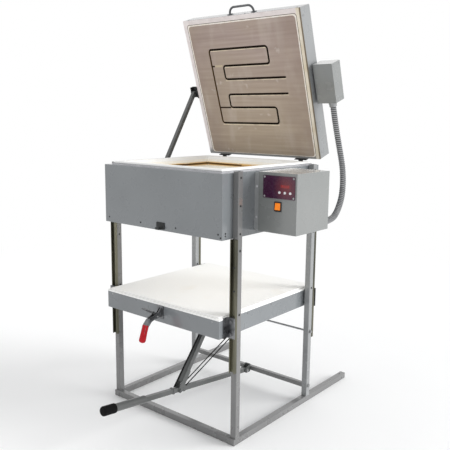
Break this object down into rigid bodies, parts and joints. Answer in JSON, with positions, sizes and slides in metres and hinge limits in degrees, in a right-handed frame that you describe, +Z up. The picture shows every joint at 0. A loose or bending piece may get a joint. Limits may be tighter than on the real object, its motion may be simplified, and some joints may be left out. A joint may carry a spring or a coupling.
{
  "type": "electric kiln",
  "caption": "Square electric kiln on a tube stand: hinged heated lid, open-bottomed firebox, and a lever-raised hearth table that closes it from below.",
  "frame": {"origin": "on the floor under the middle of the front base tube", "axes": "+X to the controller side, +Y to the back, +Z up"},
  "size_m": [0.8446, 1.1882, 1.6658],
  "materials": {
    "frame_tube": "satin grey enamel",
    "rail_zinc": "dull zinc",
    "case_paint": "satin grey enamel",
    "fibre": "matt fibre board",
    "fibre_fired": "matt fibre board, fired and stained",
    "board_white": "matt white board",
    "element": "oxidised resistance wire",
    "bright_steel": "zinc plated",
    "bolt_steel": "zinc plated",
    "conduit_metal": "ribbed galvanised",
    "box_paint": "satin grey enamel",
    "panel_dark": "printed maroon, gloss",
    "display_red": "dark red window",
    "button_white": "gloss",
    "rocker_orange": "translucent orange",
    "bezel_black": "matt black",
    "card_green": "circuit board",
    "relay_black": "moulded",
    "cord_black": "braided cover",
    "cap_black": "matt rubber",
    "grip_red": "dipped vinyl",
    "bracket_dark": "dark paint"
  },
  "bodies": {
    "stand": {"front_bar": "frame_tube", "runners": "frame_tube", "front_legs": "frame_tube", "rear_legs": "frame_tube", "rear_cross_bar": "frame_tube", "cord_rod": "bolt_steel", "lever_clevis": "frame_tube", "frame_bolts": "bolt_steel", "front_rails": "rail_zinc", "rear_rails": "rail_zinc", "firebox_case": "case_paint", "chamber_lining": "fibre", "wall_element": "element", "rim_band": "bright_steel", "top_board": "board_white", "strike_plate": "bright_steel", "thermocouple": "fibre", "control_bracket": "case_paint", "control_box": "box_paint", "control_back_cover": "box_paint", "controller_plate": "panel_dark", "display_window": "display_red", "circuit_board": "card_green", "relay": "relay_black", "terminal_block": "relay_black", "rocker_bezel": "bezel_black", "box_connector": "bright_steel", "conduit": "conduit_metal", "hinge_bases": "bright_steel", "hinge_pins": "bright_steel", "lift_cord": "cord_black"},
    "lid": {"lid_case": "case_paint", "lid_lining": "fibre_fired", "lid_element": "element", "lid_handle": "bright_steel", "hinge_leaves": "bright_steel", "junction_box": "box_paint", "lid_connector": "bright_steel", "stay_bracket": "bracket_dark"},
    "stay": {"stay_bar": "frame_tube"},
    "guide": {"stay_guide": "frame_tube"},
    "table": {"tray": "case_paint", "floor_insulation": "fibre", "table_board": "board_white", "link_lug": "frame_tube", "front_carriages": "bright_steel", "rear_carriages": "bright_steel", "clamp_base": "bright_steel"},
    "clamp": {"clamp_handle": "bright_steel", "clamp_grip": "grip_red"},
    "hook": {"clamp_hook": "bright_steel"},
    "lever": {"lever_bar": "frame_tube", "handle_tube": "frame_tube", "handle_cap": "cap_black"},
    "link": {"link_bar": "frame_tube", "link_cord": "cord_black"},
    "button_left": {"left_button": "button_white"},
    "button_middle": {"middle_button": "button_white"},
    "button_right": {"right_button": "button_white"},
    "rocker": {"rocker_switch": "rocker_orange"}
  },
  "joints": [
    {"name": "table_lift", "type": "slide", "parent": "stand", "child": "table", "axis": [0, 0, 1], "range_m": [0, 0.28]},
    {"name": "lever_hinge", "type": "hinge", "parent": "stand", "child": "lever", "pos_m": [0.016, 0.4573, 0.066], "axis": [-1, 0, 0], "range_deg": [0, 32.92], "deforming": ["lift_cord"]},
    {"name": "link_hinge", "type": "hinge", "parent": "lever", "child": "link", "pos_m": [0.016, 0.0213, 0.12008], "axis": [1, 0, 0], "range_deg": [0, 51.62], "deforming": ["link_cord"]},
    {"name": "lid_hinge", "type": "hinge", "parent": "stand", "child": "lid", "pos_m": [0, 0.5743, 1.018], "axis": [1, 0, 0], "range_deg": [0, 71.74], "deforming": ["conduit"]},
    {"name": "stay_pivot", "type": "hinge", "parent": "lid", "child": "stay", "pos_m": [-0.333, 0.49234, 1.32003], "axis": [1, 0, 0], "range_deg": [-35.88, 0]},
    {"name": "guide_pivot", "type": "hinge", "parent": "stand", "child": "guide", "pos_m": [-0.333, 0.26928, 0.948], "axis": [1, 0, 0], "range_deg": [0, 35.88]},
    {"name": "clamp_pivot", "type": "hinge", "parent": "table", "child": "clamp", "pos_m": [0.008, -0.092, 0.455], "axis": [-1, 0, 0], "range_deg": [-30, 45]},
    {"name": "hook_pivot", "type": "hinge", "parent": "clamp", "child": "hook", "pos_m": [0.008, -0.099, 0.466], "axis": [-1, 0, 0], "range_deg": [-40, 30]},
    {"name": "rocker_pivot", "type": "hinge", "parent": "stand", "child": "rocker", "pos_m": [0.418, 0.1213, 0.8975], "axis": [1, 0, 0], "range_deg": [0, 14]},
    {"name": "left_press", "type": "slide", "parent": "stand", "child": "button_left", "axis": [0, 1, 0], "range_m": [0, 0.0012], "stiffness_N_per_m": 600, "springref_m": -0.0004},
    {"name": "middle_press", "type": "slide", "parent": "stand", "child": "button_middle", "axis": [0, 1, 0], "range_m": [0, 0.0012], "stiffness_N_per_m": 600, "springref_m": -0.0004},
    {"name": "right_press", "type": "slide", "parent": "stand", "child": "button_right", "axis": [0, 1, 0], "range_m": [0, 0.0012], "stiffness_N_per_m": 600, "springref_m": -0.0004}
  ],
  "couplings": [
    {"joint": "lever_hinge", "follows": "table_lift", "rad_per_m": 2.0514},
    {"joint": "link_hinge", "follows": "table_lift", "rad_per_m": 3.217},
    {"joint": "stay_pivot", "follows": "lid_hinge", "ratio": -0.5},
    {"joint": "guide_pivot", "follows": "lid_hinge", "ratio": 0.5}
  ]
}
